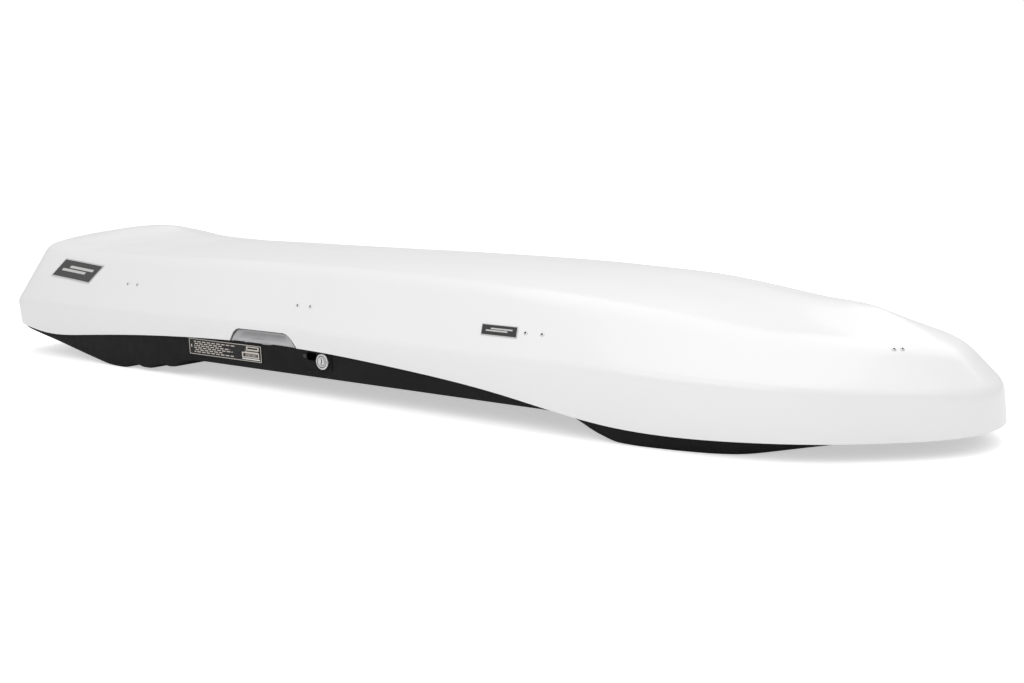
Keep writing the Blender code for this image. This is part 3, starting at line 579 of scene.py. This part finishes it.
def tray_rings():
    lid = lid_net()
    count = len(STATIONS)
    half_index = list(range(count)) + list(range(count - 2, 0, -1))
    columns = []
    for i, k in enumerate(half_index):
        edge_x, edge_y = FLOOR_EDGE[k]
        if i >= count:
            edge_y = 2 * HALF_WIDTH - edge_y
        columns.append([lid[i, 0], (edge_x, edge_y, 0), (TRAY_INSET[k], *WALL_FOOT[k])])
    dense = closed_curve(np.array([[c[0], c[0], c[1], c[2]] for c in columns], float), both_sides(TRAY_FINE))
    rim = dense[:, 0]
    edge = dense[:, 2]
    inset, foot_in, foot_up = dense[:, 3].T
    normal = inward(rim[:, :2])
    rings = []
    for i in range(len(rim)):
        wall_xy = rim[i, :2] + normal[i] * inset[i]
        foot_xy = rim[i, :2] + normal[i] * foot_in[i]
        floor_z = keel_height(edge[i, 0])
        foot_z = min(floor_z + foot_up[i] * 0.001, rim[i, 2] - 0.003)
        line = [np.array((*wall_xy, rim[i, 2] + TRAY_LAP)), np.array((*foot_xy, foot_z)),
                np.array((*(foot_xy * 0.4 + edge[i, :2] * 0.6), floor_z + (foot_z - floor_z) * 0.25)),
                np.array((*edge[i, :2], floor_z)), np.array((edge[i, 0], HALF_WIDTH, floor_z))]
        ring = [line[0]]
        for j, radius in ((1, .006), (2, .010), (3, .010)):
            entry = towards(line[j], line[j - 1], radius)
            leave = towards(line[j], line[j + 1], radius)
            ring += run(ring[-1], entry, 3) + arc(entry, line[j], leave, 4)
        ring += run(ring[-1], line[4], 10) + [line[4]]
        rings.append(ring)
    return to_world(rings)


def make_lid():
    rings = to_world([fine_section(row) for row in closed_curve(lid_net(), both_sides(LID_FINE))])
    lid = skin("fine_lid", rings, LID_WALL, gloss_white(), inner_white())
    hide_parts("lid_shell")
    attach(lid, "lid")
    return lid


def make_tray():
    tray = skin("fine_tray", tray_rings(), TRAY_WALL, grained_black())
    length, width = SLOT_SIZE
    for station in SLOT_STATIONS:
        for side in (-1, 1):
            for end in (-1, 1):
                x = at(station) + end * SLOT_OFFSET
                y = side * SLOT_Y
                outline = round_outline((x - length / 2, y - width / 2), (x + length / 2, y + width / 2),
                                        width / 2 - 0.0001)
                cut(tray, prism("slot", outline, "Z", FLOOR - 0.01, FLOOR + 0.01))
    hole = turned("lock_hole", [(0, 0.33), (0.0152, 0.33), (0.0152, 0.39), (0, 0.39)],
                  (at(LOCK_STATION), 0, LOCK_Z), (0, -1, 0), 40)
    cut(tray, hole)
    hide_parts("base_tray")
    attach(tray, "tray")
    return smooth(tray, 40)


class Skin:
    """Finds points and outward normals on the lid's outer face."""

    def __init__(self, lid):
        self.tree = BVHTree.FromObject(lid, bpy.context.evaluated_depsgraph_get())

    def flank(self, x, z, side=-1):
        hit, normal, _, _ = self.tree.ray_cast(Vector((x, side * 1.0, z)), Vector((0, -side, 0)))
        if normal.y * side < 0:
            normal = -normal
        return hit, normal


# ---------------------------------------------------------------- grip
GRIP_SPAN = (at(0.783), at(0.988))
GRIP_Z = (FLOOR + 0.0575, FLOOR + 0.088)
GRIP_LEAN = (0.024, 0.021)
GRIP_GAP = 0.0012
GRIP_WALL = 0.0018


def grip_edge(fraction, clear=0.0):
    """Left and right edge of the grip's opening at a share of its height."""
    x0, x1 = GRIP_SPAN
    pull = 1 - math.sqrt(max(0.0, 1 - max(0.0, (fraction - 0.55) / 0.45) ** 2))
    left = x0 + GRIP_LEAN[0] * fraction + 0.013 * pull + clear
    right = x1 - GRIP_LEAN[1] * fraction - 0.013 * pull - clear
    return left, right


def grip_outline(below):
    """Outline of the opening in the lid, carried that far below the grip's foot."""
    low, high = GRIP_Z
    rows = [k / 14 for k in range(15)]
    left = [(grip_edge(f)[0], low + (high - low) * f) for f in rows]
    right = [(grip_edge(f)[1], low + (high - low) * f) for f in rows]
    left[0] = (left[0][0], low - below)
    right[0] = (right[0][0], low - below)
    return right + left[::-1]


def make_grip(lid, skin_points):
    """Cut the opening in the lid's edge and set the hollow grip into it."""
    cut(lid, prism("grip_cut", grip_outline(below=0.02), "Y", -0.40, -0.3545))
    columns, rows = 56, 26
    low, high = GRIP_Z[0], GRIP_Z[1] - GRIP_GAP
    verts = []
    for j in range(rows + 1):
        f = j / rows
        left, right = grip_edge(f, GRIP_GAP)
        for i in range(columns + 1):
            u = i / columns
            x = left + (right - left) * u
            z = low + (high - low) * f
            point, _ = skin_points.flank(x, z)
            while point.y > -0.3:  # below the rim, where the ray only meets the far wall
                z += 0.0005
                point, _ = skin_points.flank(x, z)
            side = min(1.0, u * 7.5, (1 - u) * 4.5)
            scoop = math.sin(side * math.pi / 2) ** 0.8
            under_lip = math.sin(math.pi * min(1.0, (1 - f) * 5.0) / 2)
            deeper = min(1.0, max(0.0, (f - 0.30) / 0.45))
            hollow = scoop * under_lip * (0.0040 + 0.0105 * deeper)
            swell = ((u - 0.42) / 0.19) ** 2 + (f / 0.40) ** 2
            if swell < 1:
                hollow *= 1 - 0.9 * (1 - swell) ** 0.6
            verts.append(point + Vector((0, 0.0006 + hollow, 0)))
    grip = from_faces("fine_grip", verts, grid_faces(columns, rows), satin_grey_and_painted_shade())
    grip.data.materials.append(painted_groove_shade())
    # The border faces take the dark grey: painted shade for the gap round the grip.
    for polygon in grip.data.polygons:
        j, i = divmod(polygon.index, columns)
        if i in (0, columns - 1) or j >= rows - 2:
            polygon.material_index = 1
    smooth(thicken_inwards(grip, GRIP_WALL), 60)
    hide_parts("grip_insert")
    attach(grip, "lid")


# ---------------------------------------------------------------- lock
def make_lock():
    """Ring, plug with a bent keyway, surround with its pocket, and the screw head."""
    x = at(LOCK_STATION)
    centre = (x, 0, LOCK_Z)
    axis = (0, -1, 0)
    profile = [(0.0080, 0.3615), (0.0160, 0.3615), (LOCK_FACE_R, 0.3619), (LOCK_FACE_R, 0.3636), (0.0162, 0.3645),
               (0.0155, 0.3650), (0.0145, 0.3652), (0.0128, 0.3651), (0.0121, 0.3644), (0.0114, 0.3644),
               (0.0108, 0.3650), (0.0095, 0.3651), (0.0084, 0.3649), (0.0080, 0.3644)]
    face = turned("fine_lock_face", profile, centre, axis, 96, lock_silver(), painted_groove_shade())
    cut(face, prism("mark", [(x + 0.0135, LOCK_Z - 0.0012), (x + 0.018, LOCK_Z - 0.0016),
                                 (x + 0.018, LOCK_Z + 0.0016), (x + 0.0135, LOCK_Z + 0.0012)], "Y", -0.37, -0.3632))
    # Faces over the groove ring take the dark grey: painted shade in the groove.
    for polygon in face.data.polygons:
        if 0.0109 < math.hypot(polygon.center.x - x, polygon.center.z - LOCK_Z) < 0.0127:
            polygon.material_index = 1
    smooth(face, 30)
    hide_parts("lock_face")
    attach(face, "tray")

    plug = turned("fine_lock_plug", [(0, 0.3450), (0.0072, 0.3450), (0.0074, 0.3453), (0.0074, 0.3652),
                                     (0.0070, 0.3658), (0.0040, 0.3659), (0, 0.3659)],
                  centre, axis, 64, lock_silver(), painted_hole_shadow())
    for k in range(5):
        bend = 0.0012 * math.sin(k * 1.3)
        z = LOCK_Z + 0.0045 - k * 0.0022
        cut(plug, prism("keyway", [(x - 0.0012 + bend, z - 0.0013), (x + 0.0012 + bend, z - 0.0013),
                                       (x + 0.0012 + bend, z + 0.0013), (x - 0.0012 + bend, z + 0.0013)],
                            "Y", -0.39, -0.3600))
    # Keyway walls and floor take the near-black: painted shadow inside the keyway.
    for polygon in plug.data.polygons:
        inside = math.hypot(polygon.center.x - x, polygon.center.z - LOCK_Z) < 0.0066
        keyway_wall = inside and polygon.center.y < -0.3590 and polygon.normal.y > -0.9
        if keyway_wall or -0.3601 > polygon.center.y > -0.3640:
            polygon.material_index = 1 if inside else 0
    smooth(plug, 30)
    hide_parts("lock_plug")
    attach(plug, "lock_plug")

    border = round_outline((x - 0.060, FLOOR + 0.0175), (x + 0.021, FLOOR + 0.056), 0.006, 8)
    plate = prism("fine_escutcheon", border, "Y", -WALL_FACE - PLATE, -WALL_FACE, grained_black())
    cut(plate, turned("hole", [(0, 0.34), (0.0178, 0.34), (0.0178, 0.39), (0, 0.39)], centre, axis, 64))
    pocket = round_outline((x - 0.0470, LOCK_Z - 0.001), (x - 0.0210, LOCK_Z + 0.0155), 0.004)
    cut(plate, prism("pocket", pocket, "Y", -0.38, -0.34))
    smooth(bevel(plate, 0.0003), 40)
    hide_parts("lock_escutcheon")
    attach(plate, "tray")

    # Near-black sheet behind the pocket: painted shadow that makes the pocket read deep.
    back = prism("pocket_painted_shadow", pocket, "Y", -WALL_FACE + 0.0001, -WALL_FACE + 0.0005, painted_hole_shadow())
    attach(back, "tray")

    screw_at = (x - 0.0525, 0, LOCK_Z + 0.007)
    head = ((0, 0.0032), (0.0012, 0.0033), (0.0026, 0.0036), (0.0038, 0.0032), (0.0045, 0.0024),
            (0.0045, 0.0010), (0, 0.0010))
    screw = turned("fine_lock_screw", [(radius, WALL_FACE + out) for radius, out in head],
                   screw_at, axis, 40, nylon())
    smooth(screw, 40)
    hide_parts("lock_screw")
    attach(screw, "tray")


# ---------------------------------------------------------------- rivets and labels
RIVET_PROFILE = ((0, 0.0008), (0.0016, 0.0008), (0.0019, 0.0019), (0.0026, 0.0018), (0.0034, 0.0012),
                 (0.0038, 0.0006), (0.0038, 0.0002), (0.0020, 0.0002), (0.0020, -0.0060), (0, -0.0060))
RIVET_SHADE_RADIUS = 0.0018


def make_rivets(skin_points):
    """Blind rivets: a bright ring about a hollow painted black as its shadow, square to the lid's skin."""
    metal, hollow = rivet_metal(), painted_hole_shadow()
    for name in sorted(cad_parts):
        if "_rivet_" not in name:
            continue
        low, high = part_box(name)
        middle = (Vector(low) + Vector(high)) / 2
        point, normal = skin_points.flank(middle.x, middle.z, -1 if middle.y < 0 else 1)
        rivet = turned(f"fine_{name}", RIVET_PROFILE, point, normal, 28, metal, hollow)
        # Faces of the hollow centre take the near-black: painted shadow in the rivet's hole.
        for polygon in rivet.data.polygons:
            away = polygon.center - point
            if (away - normal * away.dot(normal)).length < RIVET_SHADE_RADIUS and away.dot(normal) > 0:
                polygon.material_index = 1
        smooth(rivet, 35)
        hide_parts(name)
        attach(rivet, "lid")


def plaque(name, node, skin_points, middle, length, height, slant, rise):
    """A thin plaque on the flank with a light border and two neutral bars."""
    columns, rows = 60, 16
    x, z = at(middle[0]), FLOOR + middle[1]
    verts = []
    for j in range(rows + 1):
        v = j / rows - 0.5
        for i in range(columns + 1):
            u = i / columns - 0.5
            point, normal = skin_points.flank(x + length * u + slant * v, z + height * v + rise * u)
            verts.append(point + normal * 0.0012)
    piece = from_faces(name, verts, grid_faces(columns, rows), badge_black(), badge_light())
    for face in piece.data.polygons:
        j, i = divmod(face.index, columns)
        edge = i in (0, columns - 1) or j in (0, rows - 1)
        bar = 6 <= j < 8 and 8 <= i < 44 or 9 <= j < 11 and 16 <= i < 52
        face.material_index = 1 if edge or bar else 0
    smooth(thicken_inwards(piece, 0.0009), 40)
    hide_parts(node)
    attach(piece, "lid")


def make_label():
    """Thin label that leans with the tray's near wall."""
    low, high = FLOOR + 0.015, FLOOR + 0.052
    x0, x1 = at(0.6405), at(0.8755)
    columns = 24
    verts = []
    for j, (z, y) in enumerate(((low, -0.3569), (high, -0.3583))):
        for i in range(columns + 1):
            verts.append((x0 + (x1 - x0) * i / columns, y, z))
    label = from_faces("fine_label", verts, grid_faces(columns, 1), label_print(x0, x1, low, high))
    thicken_inwards(label, 0.0006)
    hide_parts("info_label")
    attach(label, "tray")


# ---------------------------------------------------------------- carried-over nodes
def dress_nodes():
    """Give every CAD node that stays in view its material and softened edges."""
    looks = (
        (("strut_tube", "latch_guide", "latch_bar", "lock_housing"), nylon(), 0.0006),
        (("strut_rod",), bright(), 0.0003),
        (("lid_bow",), inner_white(), 0.0010),
        (("",), zinc(), 0.0004),
    )
    for name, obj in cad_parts.items():
        for starts, mat, width in looks:
            if name.startswith(starts):
                obj.data.materials.clear()
                obj.data.materials.append(mat)
                bevel(obj, width, 2, 40)
                break


# ---------------------------------------------------------------- stage, light and camera
def area_light(name, location, target, size, power):
    """A square lamp of that size in metres and power in watts, aimed at the target."""
    data = bpy.data.lights.new(name, "AREA")
    data.shape = "SQUARE"
    data.size = size
    data.energy = power
    lamp = bpy.data.objects.new(name, data)
    lamp.location = location
    lamp.rotation_euler = (Vector(target) - Vector(location)).to_track_quat("-Z", "Y").to_euler()
    bpy.context.scene.collection.objects.link(lamp)


STAGE = 14.0


def make_stage():
    """White floor and background, with soft lamps on the near side, the nose, above and the far side."""
    corners = [(-STAGE, -STAGE, 0), (STAGE, -STAGE, 0), (STAGE, STAGE, 0), (-STAGE, STAGE, 0)]
    floor = from_faces("studio_floor", corners, [(0, 1, 2, 3)])
    paint = Paint("studio_floor", (0.93, 0.93, 0.93), 0.9)
    paint.tint(paint.noise(0.5), (0.92, 0.92, 0.92), (0.94, 0.94, 0.94))
    paint.shader.inputs["Emission Color"].default_value = (1, 1, 1, 1)
    # The camera sees a brighter floor than the object is lit by.
    path = paint.tree.nodes.new("ShaderNodeLightPath")
    glow = paint.span(path.outputs["Is Camera Ray"], 0, 1, 0.05, 0.52)
    paint.link(glow, paint.shader.inputs["Emission Strength"])
    floor.data.materials.append(paint.mat)
    world = bpy.data.worlds.new("studio")
    bpy.context.scene.world = world
    world.use_nodes = True
    world.node_tree.nodes["Background"].inputs["Color"].default_value = (1, 1, 1, 1)
    lit = world.node_tree.nodes["Background"]
    lit.inputs["Strength"].default_value = 0.64
    seen = world.node_tree.nodes.new("ShaderNodeBackground")
    seen.inputs["Color"].default_value = (1, 1, 1, 1)
    seen.inputs["Strength"].default_value = 1.05
    choose = world.node_tree.nodes.new("ShaderNodeMixShader")
    path = world.node_tree.nodes.new("ShaderNodeLightPath")
    world.node_tree.links.new(path.outputs["Is Camera Ray"], choose.inputs["Fac"])
    world.node_tree.links.new(lit.outputs[0], choose.inputs[1])
    world.node_tree.links.new(seen.outputs[0], choose.inputs[2])
    world.node_tree.links.new(choose.outputs[0], world.node_tree.nodes["World Output"].inputs["Surface"])
    area_light("key", (0.6, -2.9, 2.9), (0.1, -0.2, 0.1), 3.0, 38)
    area_light("nose", (3.2, -0.2, 2.6), (0.9, 0, 0.1), 2.0, 8)
    area_light("far", (1.6, 3.0, 2.6), (0.7, 0.1, 0.15), 2.4, 18)
    area_light("top", (0.2, 0.5, 3.2), (0.2, 0, 0.2), 3.2, 33)
    bpy.context.scene.view_settings.view_transform = "Standard"


def make_camera():
    """Camera that sees the box from the nose's near side, a little above the lid."""
    data = bpy.data.cameras.new("camera")
    data.sensor_width = 36.0
    data.lens = 36.0 * 1000 / 1024
    data.clip_start = 0.02
    data.clip_end = 60.0
    camera = bpy.data.objects.new("camera", data)
    camera.location = (1.3885, -1.823, 0.431)
    camera.rotation_euler = (math.radians(90 - 8.8), 0, math.radians(33.4))
    bpy.context.scene.collection.objects.link(camera)
    bpy.context.scene.camera = camera


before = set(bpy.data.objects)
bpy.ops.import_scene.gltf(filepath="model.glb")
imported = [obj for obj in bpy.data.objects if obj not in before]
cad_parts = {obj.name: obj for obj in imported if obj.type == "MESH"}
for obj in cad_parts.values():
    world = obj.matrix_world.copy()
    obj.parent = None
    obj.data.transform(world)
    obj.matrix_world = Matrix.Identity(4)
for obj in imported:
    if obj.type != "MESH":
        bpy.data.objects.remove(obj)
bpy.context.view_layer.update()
make_camera()
make_stage()
fine_lid = make_lid()
bpy.context.view_layer.update()
outer = Skin(fine_lid)
make_grip(fine_lid, outer)
smooth(bevel(fine_lid, 0.0012, 3, 50), 30)
make_tray()
make_lock()
make_rivets(outer)
plaque("fine_tail_badge", "tail_badge", outer, (0.168, 0.178), 0.165, 0.044, 0.026, -0.012)
plaque("fine_flank_badge", "flank_badge", outer, (1.475, 0.1303), 0.078, 0.0185, -0.006, -0.001)
make_label()
dress_nodes()
